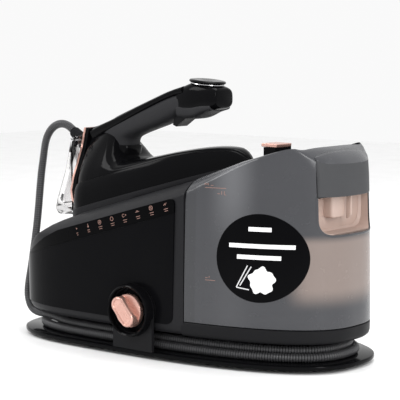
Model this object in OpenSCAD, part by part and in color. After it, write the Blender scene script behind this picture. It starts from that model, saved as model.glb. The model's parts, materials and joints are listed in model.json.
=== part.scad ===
// Steam generator iron: a long egg-shaped base station with a boiler, a
// hose groove above its base plate, a removable water tank at the +X end
// and a sloping deck on which the hand iron rests, nose towards +X.
// Millimetres. Z is up, the origin is on the ground under the middle of
// the base, and the descaling knob is on the -Y side.

/* [Base] */
// Length of the base plate
base_len = 450; // [430:5:470]
// Greatest width of the base plate
base_w = 228; // [216:2:240]
// Height of the rubber feet
foot_h = 4; // [3:0.5:5]
// Thickness of the base plate
plate_t = 5; // [4:0.5:6]
// Height of the hose groove above the base plate
groove_h = 21.5; // [20.5:0.5:24]
// Wall thickness of the housings
wall = 2.5; // [2:0.1:3.5]

/* [Deck] */
// Height of the deck line above the middle of the base
deck_z = 186; // [180:1:192]
// Rise of the deck per millimetre of length, towards the tank
deck_slope = 0.285; // [0.26:0.005:0.31]
// Depth of the bed in which the iron lies
bed_depth = 7; // [5:0.5:8]

/* [Tank] */
// Place along X of the joint between housing and tank
seam_x = 61; // [55:1:67]
// Height of the bottom of the tank
tank_z = 47; // [44:1:50]

/* [Iron] */
// Length of the soleplate
sole_len = 250; // [240:2:256]
// Width of the soleplate
sole_w = 116; // [108:2:120]
// Place along X of the tip of the soleplate
sole_tip = 85; // [80:1:88]
// Width of the handle
handle_w = 38; // [34:1:42]

/* [Hose] */
// Outer diameter of the ribbed steam hose
hose_d = 10; // [9:0.1:10.2]

/* [Knob] */
// Height of the knob's axis
knob_z = 54; // [52:0.5:56]
// Radius of the knob's disc
knob_r = 19; // [17:0.5:21]

/* [Hidden] */

$fn = 48;
fit = 0.05;                       // radial clearance of a running fit
gap = 0.4;                        // gap between bodies that slide apart
wide_x = -79;                     // place of the greatest width
nose_e = 2.6;                     // fullness of the outline at the tank end
tail_e = 3.1;                     // fullness of the outline at the hose end
plate_z = foot_h + plate_t;       // top of the base plate
tray_z = plate_z + groove_h;      // bottom of the housing
skin = 1.2;                       // thickness of the glossy side panels
shell_in = 5;                     // inset of the housing from the plate
tank_in = 5;                      // inset of the tank from the plate
deck_end = 184;                   // end of the deck towards the tank's end
deck_t = 12;                      // thickness of the deck
deck_half = 71;                   // half width of the deck above the tank
slope_a = atan(deck_slope);
port_z = 53;                      // height of the water port between tank and base

// Half of the outline's width and length, inset by d, as points of a
// full oval whose two ends have different fullness.
function oval_pt(t, d) =
    let (c = cos(t), s = sin(t), e = c >= 0 ? nose_e : tail_e,
         a = c >= 0 ? base_len / 2 - wide_x - d : base_len / 2 + wide_x - d,
         b = base_w / 2 - d)
    [wide_x + sign(c) * a * pow(abs(c), 2 / e), sign(s) * b * pow(abs(s), 2 / e)];
function oval(d, n = 84) = [for (i = [0:n - 1]) oval_pt(360 * (i + 0.5) / n, d)];
// Height of the deck line at x.
function deck_at(x) = deck_z + deck_slope * x;

module prism(d, z0, z1) {
    translate([0, 0, z0]) linear_extrude(z1 - z0) polygon(oval(d));
}
module ring(d0, d1, z0, z1) {
    translate([0, 0, z0]) linear_extrude(z1 - z0) difference() {
        polygon(oval(d0));
        polygon(oval(d1));
    }
}
// A side outline in X and Z, drawn through y0 to y1.
module side(pts, y0, y1) {
    translate([0, y1, 0]) rotate([90, 0, 0]) linear_extrude(y1 - y0) polygon(pts);
}
// The layer between two heights over the deck line, from x0 to x1.
module layer(x0, x1, a, b, half = 130) {
    side([[x0, deck_at(x0) + a], [x1, deck_at(x1) + a],
          [x1, deck_at(x1) + b], [x0, deck_at(x0) + b]], -half, half);
}
// Everything below the rounded shoulders that run along the deck.
module under_roof() {
    translate([0, 0, deck_z]) rotate([0, -slope_a, 0]) rotate([90, 0, 90])
        linear_extrude(800, center = true)
        polygon([[-130, -420], [130, -420], [130, -44], [110, -23], [97, -9],
                 [84, -2], [72, 0], [-72, 0], [-84, -2], [-97, -9],
                 [-110, -23], [-130, -44]]);
}

// ---- base ---------------------------------------------------------------
module base_plate() {
    color("#16161a") prism(0, foot_h, plate_z);
}
module rubber_feet() {
    color("#202022")
    for (p = [[-165, 72], [-30, 88], [120, 72]], s = [-1, 1])
        translate([p[0], s * p[1], 0]) cylinder(foot_h, r = 8);
}
drum_in = 34;                     // inset of the groove's inner wall
module hose_drum() {
    color("#121214") ring(drum_in, drum_in + 3, plate_z, tray_z);
}
module chassis_tray() {
    color("#1a1a1d") {
        prism(shell_in + 9, tray_z, tray_z + 3);
        intersection() {
            ring(shell_in, shell_in + 9, tray_z, tank_z - gap);
            translate([seam_x, -150, 0]) cube([200, 300, 100]);
        }
    }
}
// Side outline of the housing: hose end, rising deck and tank joint.
shell_side = [[-204, tray_z + 3], [seam_x, tray_z + 3], [seam_x, deck_at(seam_x)],
    [-110, deck_at(-110)], [-135, deck_at(-135) - 2], [-160, 132], [-200, 105],
    [-216, 88], [-226, 62], [-226, 50], [-217, 38]];
module shell_solid(d) {
    intersection() {
        prism(d, tray_z, 260);
        side(shell_side, -130, 130);
        under_roof();
    }
}
module body_shell() {
    color("#1b1b1e") difference() {
        shell_solid(shell_in);
        intersection() {
            prism(shell_in + wall, tray_z, 260);
            translate([-wall, 0, -wall]) side(shell_side, -130, 130);
            translate([wall, 0, -wall]) side(shell_side, -130, 130);
        }
        layer(-150, seam_x + 1, -deck_t, 40);
        knob_hole();
        translate([seam_x - 9, -12, port_z]) rotate([0, 90, 0]) cylinder(20, r = 9.05);
        translate([-60, 118, 52]) rotate([90, 0, 0]) cylinder(30, r = 8);
    }
}
knob_y = -base_w / 2 + 2;         // plane of the housing wall at the knob
module knob_hole() {
    translate([knob_x, knob_y - 12, knob_z]) rotate([-90, 0, 0]) cylinder(30, r = knob_r + 2.5);
}
panel_top = 17;                   // panel's top edge below the deck line
panel_side = [[-228, 50], [-212, 41], [seam_x - 12, 41], [seam_x - 9, deck_at(seam_x) - panel_top - 3],
    [seam_x - 14, deck_at(seam_x - 14) - panel_top], [-130, deck_at(-130) - panel_top],
    [-165, deck_at(-165) - panel_top - 12], [-228, 78]];
module panel(s) {
    intersection() {
        ring(shell_in - skin, shell_in, tray_z, 200);
        side(panel_side, s > 0 ? 20 : -130, s > 0 ? 130 : -20);
    }
}
strip_h = 17;                     // height of the touch strip
module strip_zone() { layer(-185, seam_x - 8, -panel_top - strip_h, -panel_top + 10); }
module front_panel() {
    color("#0c0c0e") difference() {
        panel(-1);
        strip_zone();
        translate([0, bracket_y + 4.1, 0]) rotate([90, 0, 0]) linear_extrude(20) bracket_outline();
        knob_hole();
    }
}
module control_strip() {
    color("#151517") intersection() {
        panel(-1);
        strip_zone();
    }
}
module rear_panel() {
    color("#0c0c0e") difference() {
        panel(1);
        translate([-60, 118, 52]) rotate([90, 0, 0]) cylinder(30, r = 12);
    }
}
module control_pcb() {
    color("darkgreen") translate([0, -99.5, 0])
        side([[-95, 126], [42, 165], [42, 150], [-95, 111]], -1.6, 0);
}
// Plan of the deck: as wide as the housing up to the joint, narrower above the tank.
module deck_plan() {
    intersection() {
        polygon(oval(shell_in));
        translate([-150, -130]) square([150 + seam_x, 260]);
    }
    intersection() {
        polygon(oval(tank_in + 8));
        translate([0, -deck_half]) square([deck_end, 2 * deck_half]);
    }
}
module deck() {
    color("#1c1c1f") difference() {
        intersection() {
            linear_extrude(300) deck_plan();
            layer(-170, deck_end + 10, -deck_t, 6);
            under_roof();
        }
        intersection() {
            linear_extrude(320) offset_sole(-9);
            layer(-200, sole_tip + 30, -bed_depth, 60);
        }
        translate([lock_x - 15, -8, 150]) cube([31, 16, 150]);
    }
}
module rest_pads() {
    color("#2a2a2c") intersection() {
        for (p = [[-120, 30], [-120, -30], [-20, 30], [-20, -30], [48, 0]])
            translate([p[0], p[1], 100]) cylinder(200, r = 7);
        layer(-140, 70, -bed_depth, -bed_depth + 3);
    }
}

// ---- descaling knob -----------------------------------------------------
knob_x = -5;
grip_r = 9.5;                     // half width of the knob's grip bar
bracket_y = -base_w / 2 + 1;      // front face of the bracket plate
module bracket_outline() {
    union() {
        translate([knob_x, knob_z]) circle(29);
        translate([knob_x - 29, plate_z]) square([58, knob_z - plate_z]);
    }
}
module knob_bracket() {
    color("#1d1d20") translate([0, bracket_y + 4, 0]) rotate([90, 0, 0])
    linear_extrude(4) difference() {
        bracket_outline();
        translate([knob_x, knob_z]) circle(25.6);
    }
}
module knob_collar() {
    color("#0e0e10") translate([knob_x, bracket_y, knob_z]) rotate([90, 0, 0])
    rotate_extrude() polygon([[25.5, -4], [25.5, 8], [26.5, 9.5], [28, 8], [29, 0],
                              [25.6, 0], [25.6, -4]]);
}
module collector_tube() {
    color("silver") translate([knob_x, -30, knob_z]) rotate([90, 0, 0])
    rotate_extrude() polygon([[10, 0], [10, 72], [13, 72], [13, 0]]);
}
module knob_cap() {
    color("#c08f80") translate([knob_x, bracket_y - 1, knob_z]) rotate([90, 0, 0])
    difference() {
        union() {
            cylinder(6, r = knob_r);
            rotate(-49) translate([0, 0, 1]) {
                for (s = [-1, 1]) translate([s * (knob_r - grip_r), 0, 0]) cylinder(16, r = grip_r);
                translate([grip_r - knob_r, -grip_r, 0]) cube([2 * (knob_r - grip_r), 2 * grip_r, 16]);
            }
        }
        translate([0, 0, -1]) cylinder(5, r = 6 + fit);
    }
}
module knob_stem() {
    color("dimgray") translate([knob_x, bracket_y + 49, knob_z]) rotate([90, 0, 0])
    rotate_extrude() polygon([[0, 0], [8, 0], [8, 45], [15, 45], [15, 49.5], [6, 49.5],
                              [6, 53], [0, 53]]);
}
module stem_seal() {
    color("#303030") translate([knob_x, bracket_y + 26, knob_z]) rotate([90, 0, 0])
    rotate_extrude() polygon([[8, 0], [9.95, 0], [9.95, 3], [8, 3]]);
}

// ---- inside the base ----------------------------------------------------
boiler_c = [-20, 8, 86];
module boiler() {
    color("silver") translate(boiler_c) rotate([0, 90, 0]) difference() {
        cylinder(110, r = 36, center = true);
        cylinder(104, r = 34, center = true);
    }
}
module boiler_heater() {
    color("#8a6a50") translate(boiler_c) rotate([0, 90, 0]) {
        rotate_extrude() polygon([[24, -52], [30, -52], [30, 52], [24, 52]]);
    }
}
module boiler_jacket() {
    color("#d8d2c0") translate(boiler_c) rotate([0, 90, 0]) difference() {
        cylinder(112, r = 40, center = true);
        cylinder(113, r = 36.3, center = true);
    }
}
module water_pump() {
    color("#3b3f45") translate([-135, 20, tray_z + 3]) {
        translate([-22, -20, 0]) cube([44, 40, 34]);
        translate([0, 0, 34]) cylinder(22, r = 15);
    }
}
module power_board() {
    color("darkgreen") translate([-110, 62, tray_z + 8]) cube([80, 30, 2]);
    color("#333") for (x = [-100, -45]) translate([x, 76, tray_z + 3]) cylinder(5, r = 3);
}
module solenoid_valve() {
    color("#55565a") translate([-100, -40, 60]) {
        cylinder(40, r = 12);
        translate([-9, -9, 40]) cube([18, 18, 8]);
    }
}
module pipe(pts, r) {
    for (i = [0:len(pts) - 2]) {
        v = pts[i + 1] - pts[i];
        translate(pts[i]) rotate([0, acos(v[2] / norm(v)), atan2(v[1], v[0])])
            cylinder(norm(v), r = r, $fn = 24);
        translate(pts[i + 1]) sphere(r, $fn = 24);
    }
}
module steam_pipe() {
    color("#b8734a") pipe([[-76, 8, 86], [-100, 8, 86], [-100, -28, 86]], 3);
}
module water_pipe() {
    color("#d9d9d0") pipe([[-113, 20, 41], [41, 20, 41], [41, -12, 41], [41, -12, port_z],
                           [48.8, -12, port_z]], 3);
}
module tank_coupling() {
    color("#444") translate([seam_x - 12, -12, port_z]) rotate([0, 90, 0])
    difference() {
        cylinder(12, r = 9);
        translate([0, 0, -1]) cylinder(14, r = 5);
    }
}
module cord_gland() {
    color("#151515") translate([-60, 109, 52]) rotate([90, 0, 0])
    rotate_extrude() polygon([[4, 12], [8, 12], [8, 0], [11, 0], [11, -4], [7, -4],
                              [5.5, -22], [4, -22]]);
}
module body_screws() {
    color("gray") for (x = [-165, -60, 60, 150], s = [-1, 1])
        translate([x, s * 45, plate_z]) {
            cylinder(groove_h, r = 2);
            cylinder(2, r = 4);
        }
}

// ---- iron lock ----------------------------------------------------------
lock_x = 112;
lock_top = 239.5;
module lock_slider() {
    color("#161618") {
        translate([lock_x - 8, -15, deck_at(lock_x) + 3]) cube([16, 30, lock_top - 4 - deck_at(lock_x) - 3]);
        translate([lock_x - 6, -6, deck_at(lock_x) - deck_t - 6]) cube([12, 12, deck_t + 10]);
    }
}
module lock_cap() {
    color("#c08f80") translate([lock_x - 5, -14, lock_top - 4]) cube([12, 28, 4]);
}
module lock_guide() {
    color("#2c2c2e") difference() {
        layer(lock_x - 20, lock_x + 20, -deck_t - 8, -deck_t, 8.6);
        translate([lock_x - 30, -6.4, 150]) cube([60, 12.8, 100]);
    }
}

// ---- water tank ---------------------------------------------------------
tank_wall = 2.4;
tank_side = [[seam_x + 1, tank_z], [base_len / 2, tank_z], [base_len / 2, 190],
    [219.5, 212], [217, 222], [210, 229], [198, 234], [186, 238], [seam_x + 20, deck_at(seam_x + 20) + 4],
    [seam_x + 6, deck_at(seam_x) - 10], [seam_x + 1, deck_at(seam_x) - 30]];
module tank_outer(d, x_in, z_in) {
    intersection() {
        prism(d, tank_z, 260);
        translate([x_in, 0, z_in]) side(tank_side, -130, 130);
        under_roof();
    }
}
module tank_hollow() {
    intersection() {
        prism(tank_in + tank_wall, tank_z + 3, 260);
        translate([0, 0, -tank_wall - 0.6]) side(tank_side, -130, 130);
        translate([0, 0, -tank_wall]) under_roof();
        translate([seam_x + 1 + tank_wall, -150, 0]) cube([300, 300, 300]);
    }
}
module deck_channel(extra = 0) {
    translate([0, 0, 0]) side([[0, deck_at(0) - deck_t - gap - extra],
        [deck_end + gap + extra, deck_at(deck_end) - deck_t - gap - extra],
        [deck_end + gap + extra, 300], [0, 300]], -deck_half - gap - extra, deck_half + gap + extra);
}
// The channel that passes the lock's guide as the tank slides out.
module lock_channel(extra = 0) {
    layer(seam_x - 5, lock_x + 22 + extra, -deck_t - 9 - extra, -deck_t + 4, 9.4 + extra);
}
pocket_z = 147;                   // bottom of the finger pocket
end_half = 50;                    // half width of the flap and of the finger pocket
// The pocket for the fingers in the tank's end.
module grip_pocket(extra = 0) {
    translate([186 - extra, -end_half - extra, pocket_z - extra])
        cube([60, 2 * (end_half + extra), flap_z - pocket_z + 2 * extra]);
}
flap_z = 188;                     // bottom of the fill flap
module flap_zone(extra = 0) {
    translate([190 - extra, -end_half - extra, flap_z - extra])
        cube([60, 2 * (end_half + extra), 60]);
}
module tank_shell() {
    color([0.25, 0.25, 0.27, 0.6]) difference() {
        tank_outer(tank_in, 0, 0);
        difference() {
            tank_hollow();
            deck_channel(tank_wall);
            grip_pocket(tank_wall);
            lock_channel(tank_wall);
        }
        lock_channel();
        deck_channel();
        grip_pocket();
        flap_zone();
        translate([flap_axis[0], 80, flap_axis[1]]) rotate([90, 0, 0]) cylinder(160, r = 1.5);
        translate([seam_x - 6, -45, tank_z - 1]) cube([50, 66, 12 + 1]);
    }
}
module tank_base() {
    color("#1a1a1c") difference() {
        translate([seam_x + 1, -44, tank_z]) cube([42, 64, 11.5]);
        translate([seam_x, -12, port_z]) rotate([0, 90, 0]) cylinder(30, r = 5);
        translate([seam_x + 18, -12, port_z]) cylinder(40, r = 5);
    }
}
module tank_valve() {
    color("#777") translate([seam_x + 2, -12, port_z]) rotate([0, 90, 0]) cylinder(14, r = 3.5);
}
module valve_seal() {
    color("#222") translate([seam_x + 5, -12, port_z]) rotate([0, 90, 0])
        difference() { cylinder(3, r = 5); translate([0, 0, -1]) cylinder(6, r = 3.5); }
}
module tank_grip() {
    color("#b79b8e") difference() {
        intersection() {
            grip_pocket();
            prism(tank_in + 4, 100, 240);
        }
        translate([189, 3 - end_half, pocket_z + 3])
            cube([60, 2 * end_half - 6, flap_z - pocket_z - 6]);
    }
}
flap_axis = [197.5, 229];         // hinge of the fill flap, in X and Z
module tank_flap() {
    color("#3f3f42") difference() {
        intersection() {
            union() {
                ring(tank_in, tank_in + 3, flap_z + gap, 232);
                difference() {
                    prism(tank_in, 100, 260);
                    translate([-3, 0, -3]) side(tank_side, -130, 130);
                }
                translate([flap_axis[0], 40, flap_axis[1]]) rotate([90, 0, 0]) cylinder(80, r = 3.4);
            }
            side(tank_side, -130, 130);
            flap_zone(-gap);
        }
        translate([150, -200, 150]) cube([flap_axis[0] - 3.4 - 150, 400, 100]);
        translate([flap_axis[0], 60, flap_axis[1]]) rotate([90, 0, 0]) cylinder(120, r = 1.5 + fit);
    }
}
module flap_pin() {
    color("silver") translate([flap_axis[0], end_half + 4, flap_axis[1]])
        rotate([90, 0, 0]) cylinder(2 * end_half + 8, r = 1.5);
}

// ---- hand iron ----------------------------------------------------------
sole_rear = sole_tip - sole_len;
// Half width of the soleplate along its length, u from 0 rear to 1 tip.
function sole_half(u) =
    sole_w / 2 * pow(1 - pow(max(0, (u - 0.12) / 0.88), 2), 0.75)
    * (u < 0.12 ? 1 - 0.35 * pow(1 - u / 0.12, 2.4) : 1);
function sole_side(n = 18) = [for (i = [0:n]) let (u = i / n) [sole_rear + sole_len * u, sole_half(u)]];
module sole_2d() {
    polygon(concat([for (p = sole_side()) p],
        [for (i = [1:17]) let (p = sole_side()[18 - i]) [p[0], -p[1]]],
        [[sole_rear, -sole_half(0)]]));
}
// The sole outline, narrower by d all round.
module offset_sole(d) {
    translate([(sole_tip + sole_rear) / 2, 0])
        scale([1 - 2 * d / sole_len, 1 - 2 * d / sole_w])
        translate([-(sole_tip + sole_rear) / 2, 0]) sole_2d();
}
module sole_layer(d, a, b) {
    intersection() {
        linear_extrude(330) offset_sole(d);
        layer(sole_rear - 20, sole_tip + 20, a, b);
    }
}
module soleplate() {
    color("#9a9a9c") difference() {
        sole_layer(2, -bed_depth + 3, -bed_depth + 6);
        for (x = [20:-28:-120], s = [-1, 1]) translate([x, s * (14 + (20 - x) * 0.16), 100])
            cylinder(150, r = 2);
    }
}
module heating_body() {
    color("#8e8e90") sole_layer(10, -bed_depth + 6, 12);
}
module steam_cover() {
    color("#b0b0b2") sole_layer(14, 12, 15);
}
module iron_skirt() {
    color("#101012") difference() {
        sole_layer(0, -bed_depth + 6, 14);
        sole_layer(3, -bed_depth + 5, 15);
    }
}
iron_side = [[sole_rear + 4, deck_at(sole_rear + 4) + 14.2], [sole_tip - 2, deck_at(sole_tip - 2) + 14.2],
    [sole_tip - 8, 228], [60, 231.5], [36, 232.5], [12, 230], [-14, 225], [-68, 215],
    [-92, 211], [-100, 229], [-150, 228], [sole_rear + 6, 200]];
module iron_hull_side(d, z_drop) {
    intersection() {
        linear_extrude(330) offset_sole(d);
        translate([0, 0, -z_drop]) side(iron_side, -70, 70);
        translate([0, 0, deck_z - z_drop]) rotate([0, -slope_a, 0]) rotate([90, 0, 90])
            linear_extrude(700, center = true)
            polygon([[-70, 0], [70, 0], [60, 22], [44, 36], [22, 50], [19, 100],
                     [-19, 100], [-22, 50], [-44, 36], [-60, 22]]);
    }
}
module iron_shell() {
    color("#101012") difference() {
        iron_hull_side(1, 0);
        difference() {
            iron_hull_side(4, 3);
            translate([-200, -80, 100]) cube([20, 160, 200]);
        }
        sole_layer(3.2, 0, 16);
    }
}
// Side outline of the handle's arm: rear column, arm and free front.
arm_side = [[-166, 214], [-174, 226], [-170, 238], [-155, 244.5], [-122, 258], [-90, 271], [-59, 283],
    [-30, 294], [-14, 299], [-14, 268], [-31, 259], [-67, 245], [-90, 236], [-100, 229.3],
    [-150, 228.3]];
pad_z = 4;                        // thickness of the grey pad on the arm
module handle_shell() {
    color("#0f0f11") difference() {
        translate([0, 0, -pad_z]) side(arm_side, -handle_w / 2, handle_w / 2);
        translate([-104, -handle_w / 2 + wall, 0])
            side([[0, 232], [86, 270], [86, 286], [0, 252]], 0, handle_w - 2 * wall);
        trigger_room();
        relief_room();
        side([[-178, 200], [-92, 200], [-97, 229.8], [-150, 228.8], [-178, 217]], -50, 50);
    }
}
module handle_pad() {
    color("#4a4a4d") translate([0, 0, 0]) intersection() {
        difference() {
            side(arm_side, -handle_w / 2 + 3, handle_w / 2 - 3);
            translate([0, 0, -pad_z]) side(arm_side, -handle_w, handle_w);
        }
        translate([-150, -50, 200]) cube([120, 100, 120]);
    }
}
module soft_grip() {
    color("#2b2b2d") for (s = [-1, 1])
        translate([0, s * (handle_w / 2 + 0.8), 0])
        side([[-96, 233], [-67, 244], [-40, 256], [-40, 266], [-67, 256], [-96, 244]], -0.8, 0.8);
}
tip_side = [[-14, 262], [-14, 299], [-3, 305], [12, 304.5], [28, 301], [38, 296], [35, 277],
    [20, 274], [6, 268]];
module tip_block() {
    color("#0d0d0f") difference() {
        side(tip_side, -handle_w / 2 - 2, handle_w / 2 + 2);
        translate([12, 0, 298]) rotate([0, 6, 0]) cylinder(20, r = 15.05);
        trigger_room();
    }
}
module shot_button() {
    color("#1a1a1c") translate([12, 0, 298]) rotate([0, 6, 0]) translate([0, 0, 1.8]) cylinder(6, r = 15);
}
trig_pin = [6, 276];              // axis of the trigger, in X and Z
module trigger_room() {
    translate([0, 0, 0]) side([[-34, 240], [10, 240], [10, 282], [-20, 288], [-34, 282]], -11, 11);
}
module trigger() {
    color("#171719") difference() {
        union() {
            side([[-31, 255], [-26, 253], [-10, 264], [9, 270], [9, 280], [-6, 279],
                  [-27, 272]], -10, 10);
        }
        translate([trig_pin[0], 20, trig_pin[1]]) rotate([90, 0, 0]) cylinder(40, r = 2 + fit);
    }
}
module trigger_pin() {
    color("silver") translate([trig_pin[0], 11, trig_pin[1]]) rotate([90, 0, 0]) cylinder(22, r = 2);
}
module microswitch() {
    color("#222") translate([-62, -6, 258]) cube([14, 12, 8]);
}
rim_x = -168;                     // joint between rear rim and heel stand
heel_side = [[rim_x, 142], [-182, 139], [-197, 142], [-202, 150], [-199, 160], [-187, 190],
    [-179, 212], [rim_x, 212]];
module heel_stand() {
    color([0.5, 0.47, 0.45, 0.5]) difference() {
        side(heel_side, -34, 34);
        side([[-160, 150], [-190, 150], [-176, 205], [-160, 205]], -29, 29);
    }
}
module rear_rim() {
    color("#c08f80") difference() {
        side([[rim_x, 154], [sole_rear + 3.8, 154], [sole_rear + 3.8, 212], [rim_x, 212]], -40, 40);
        side([[-170, 158], [-150, 158], [-150, 208], [-170, 208]], -36, 36);
    }
}
relief_a = 52;                    // lean of the hose relief back from upright
relief_at = [-176, 0, 222];       // where the relief leaves the handle
module relief_room() {
    translate(relief_at) rotate([0, -relief_a, 0]) cylinder(40, r = 9.6);
}
module hose_relief() {
    color("#1a1a1c") translate(relief_at) rotate([0, -relief_a, 0]) {
        cylinder(14, r = 9.5);
        translate([0, 0, 14]) cylinder(16, r1 = 8, r2 = 6);
    }
}

// ---- steam hose ---------------------------------------------------------
// Middle line of the free stretch, from the relief down to the groove.
hose_route = [[-200.6, 0, 241.5], [-211, 1, 247], [-222.5, 2, 248.7], [-234, 3, 246.2],
    [-243.9, 3.8, 240], [-251, 4, 230.7], [-254.5, 3.5, 219.5], [-255, 1, 205],
    [-252.5, -5, 188], [-247.5, -13, 169], [-241, -22.5, 147], [-233.5, -34, 122],
    [-226.5, -46, 98], [-221.5, -56, 76], [-219.8, -62, 59], [-218.8, -65, 47],
    [-215.5, -67.2, 37], [-209.5, -69.3, 29.5], [-201.5, -71.3, 25.4], [-192, -73.4, 24.2],
    [-180, -75.8, 24.4]];
function unit(v) = v / norm(v);
// Direction of the route at point i.
function way(p, i) = unit(p[min(i + 1, len(p) - 1)] - p[max(i - 1, 0)]);
module swept(p, r, n = 10) {
    rings = [for (i = [0:len(p) - 1])
        let (w = way(p, i), a = unit(cross(w, [0.35, 1, 0.1])), b = cross(w, a))
        for (k = [0:n - 1]) p[i] + r * (cos(360 * k / n) * a + sin(360 * k / n) * b)];
    faces = concat([[for (k = [0:n - 1]) k]],
        [for (i = [0:len(p) - 2], k = [0:n - 1]) let (q = (k + 1) % n)
            each [[i * n + k, (i + 1) * n + k, (i + 1) * n + q],
                  [i * n + k, (i + 1) * n + q, i * n + q]]],
        [[for (k = [n - 1:-1:0]) (len(p) - 1) * n + k]]);
    polyhedron(rings, faces);
}
turn_in = 21;                     // inset of the outer turn's middle line
turn_top = plate_z + 1.75 * hose_d;
module hose_lead() {
    color("#3a3a3c") swept(hose_route, hose_d / 2);
}
module hose_winding() {
    color("#343436") ring(turn_in - hose_d / 2, turn_in + 1.2 * hose_d, plate_z, turn_top);
}

base_plate();
rubber_feet();
hose_drum();
chassis_tray();
body_shell();
front_panel();
rear_panel();
control_strip();
control_pcb();
deck();
rest_pads();
knob_bracket();
knob_collar();
collector_tube();
boiler();
boiler_heater();
boiler_jacket();
water_pump();
power_board();
solenoid_valve();
steam_pipe();
water_pipe();
tank_coupling();
cord_gland();
body_screws();
lock_slider();
lock_cap();
lock_guide();
knob_cap();
knob_stem();
stem_seal();
tank_shell();
tank_base();
tank_valve();
valve_seal();
tank_grip();
tank_flap();
flap_pin();
soleplate();
heating_body();
steam_cover();
iron_skirt();
iron_shell();
handle_shell();
soft_grip();
handle_pad();
tip_block();
heel_stand();
rear_rim();
hose_relief();
microswitch();
trigger();
trigger_pin();
shot_button();
hose_lead();
hose_winding();
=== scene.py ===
"""Looks of a steam generator iron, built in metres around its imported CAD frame."""

import json
import math

import bmesh
import bpy
from mathutils import Matrix, Vector


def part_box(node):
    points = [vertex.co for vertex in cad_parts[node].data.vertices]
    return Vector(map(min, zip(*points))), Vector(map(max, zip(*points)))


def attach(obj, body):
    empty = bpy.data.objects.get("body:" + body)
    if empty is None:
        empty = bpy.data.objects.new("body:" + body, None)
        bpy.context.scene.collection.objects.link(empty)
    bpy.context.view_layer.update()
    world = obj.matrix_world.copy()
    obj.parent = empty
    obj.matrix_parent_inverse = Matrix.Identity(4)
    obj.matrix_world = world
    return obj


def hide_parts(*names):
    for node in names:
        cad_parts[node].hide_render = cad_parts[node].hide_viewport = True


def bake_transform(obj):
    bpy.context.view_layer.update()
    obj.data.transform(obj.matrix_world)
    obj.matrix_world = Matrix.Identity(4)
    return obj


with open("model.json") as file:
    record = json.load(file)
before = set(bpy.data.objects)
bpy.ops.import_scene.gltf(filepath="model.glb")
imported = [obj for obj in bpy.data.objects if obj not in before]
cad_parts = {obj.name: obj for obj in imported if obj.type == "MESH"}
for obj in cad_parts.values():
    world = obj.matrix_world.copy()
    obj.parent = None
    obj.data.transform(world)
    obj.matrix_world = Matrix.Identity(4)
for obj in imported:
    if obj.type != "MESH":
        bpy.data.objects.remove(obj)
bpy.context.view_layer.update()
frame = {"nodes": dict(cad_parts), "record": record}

# ---- driving dimensions, in millimetres as in the design ------------------
MM = 0.001
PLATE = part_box("base_plate")
BASE_LEN = (PLATE[1].x - PLATE[0].x) / MM
BASE_W = (PLATE[1].y - PLATE[0].y) / MM
FOOT_H = PLATE[0].z / MM
PLATE_Z = PLATE[1].z / MM
TRAY_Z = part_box("chassis_tray")[0].z / MM
TANK_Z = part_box("tank_shell")[0].z / MM
SEAM_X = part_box("tank_shell")[0].x / MM - 1
WIDE_X = -79
NOSE_E, TAIL_E = 2.6, 3.1
DECK_Z, DECK_SLOPE = 186, 0.285
DECK_END, DECK_HALF = 184, 71
SHELL_IN, TANK_IN = 5, 5
BED_DEPTH = 7
SOLE_LEN, SOLE_W, SOLE_TIP = 250, 116, 85
SOLE_REAR = SOLE_TIP - SOLE_LEN
KNOB = Vector((-5, -114, 54))
FACE_FRONT = Matrix.Rotation(math.pi / 2, 4, "X")
END_HALF = 50
POCKET_Z, FLAP_Z = 147, 188
POCKET_BACK, FLAP_BACK, PAST_END = 187, 196, 240
LOCK_X, LOCK_TOP = 112, 239.5
AROUND = 220


# ---- outline of the base ---------------------------------------------------
def oval_point(turn, inset):
    """Point of the egg-shaped outline at an angle in radians, inset by some millimetres."""
    c, s = math.cos(turn), math.sin(turn)
    e = NOSE_E if c >= 0 else TAIL_E
    a = BASE_LEN / 2 + (-WIDE_X if c >= 0 else WIDE_X) - inset
    b = BASE_W / 2 - inset
    return (WIDE_X + math.copysign(a * abs(c) ** (2 / e), c),
            math.copysign(b * abs(s) ** (2 / e), s))


def turn_at(x, inset):
    """Angle from 0 to pi at which the outline passes x."""
    e = NOSE_E if x >= WIDE_X else TAIL_E
    a = BASE_LEN / 2 + (-WIDE_X if x >= WIDE_X else WIDE_X) - inset
    c = min(1, abs(x - WIDE_X) / a) ** (e / 2)
    return math.acos(math.copysign(c, x - WIDE_X))


def even(points, count, closed=False):
    """The same line through count evenly spaced points."""
    points = list(points) + ([points[0]] if closed else [])
    size = len(points[0])
    spans = [math.dist(p, q) for p, q in zip(points, points[1:])]
    total, out, i, run = sum(spans), [], 0, 0
    for k in range(count):
        want = total * k / (count if closed else count - 1)
        while i < len(spans) - 1 and run + spans[i] < want:
            run += spans[i]
            i += 1
        f = min(1, (want - run) / spans[i]) if spans[i] else 0
        out.append(tuple(points[i][n] + f * (points[i + 1][n] - points[i][n]) for n in range(size)))
    return out


def oval_ring(inset, count=AROUND):
    fine = [oval_point(2 * math.pi * (i + 0.5) / 720, inset) for i in range(720)]
    return even(fine, count, closed=True)


def oval_arc(inset, x_cut, tank, count=AROUND):
    """The part of the outline before x_cut, or past it for the tank, from -Y round to +Y."""
    t = turn_at(x_cut, inset)
    start, end = (-t, t) if tank else (-t, t - 2 * math.pi)
    fine = [oval_point(start + (end - start) * i / 720, inset) for i in range(721)]
    return even(fine, count)


def deck_at(x):
    """Height of the sloping deck at x."""
    return DECK_Z + DECK_SLOPE * x


def shoulder(y):
    """How far the rounded shoulder lies under the deck line."""
    return 0.0155 * max(0, abs(y) - 70) ** 2


def along(points, x):
    """Height of a line of points at x."""
    for p, q in zip(points, points[1:]):
        if x <= q[0]:
            return p[1] + (q[1] - p[1]) * (x - p[0]) / (q[0] - p[0])
    return points[-1][1]


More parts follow.
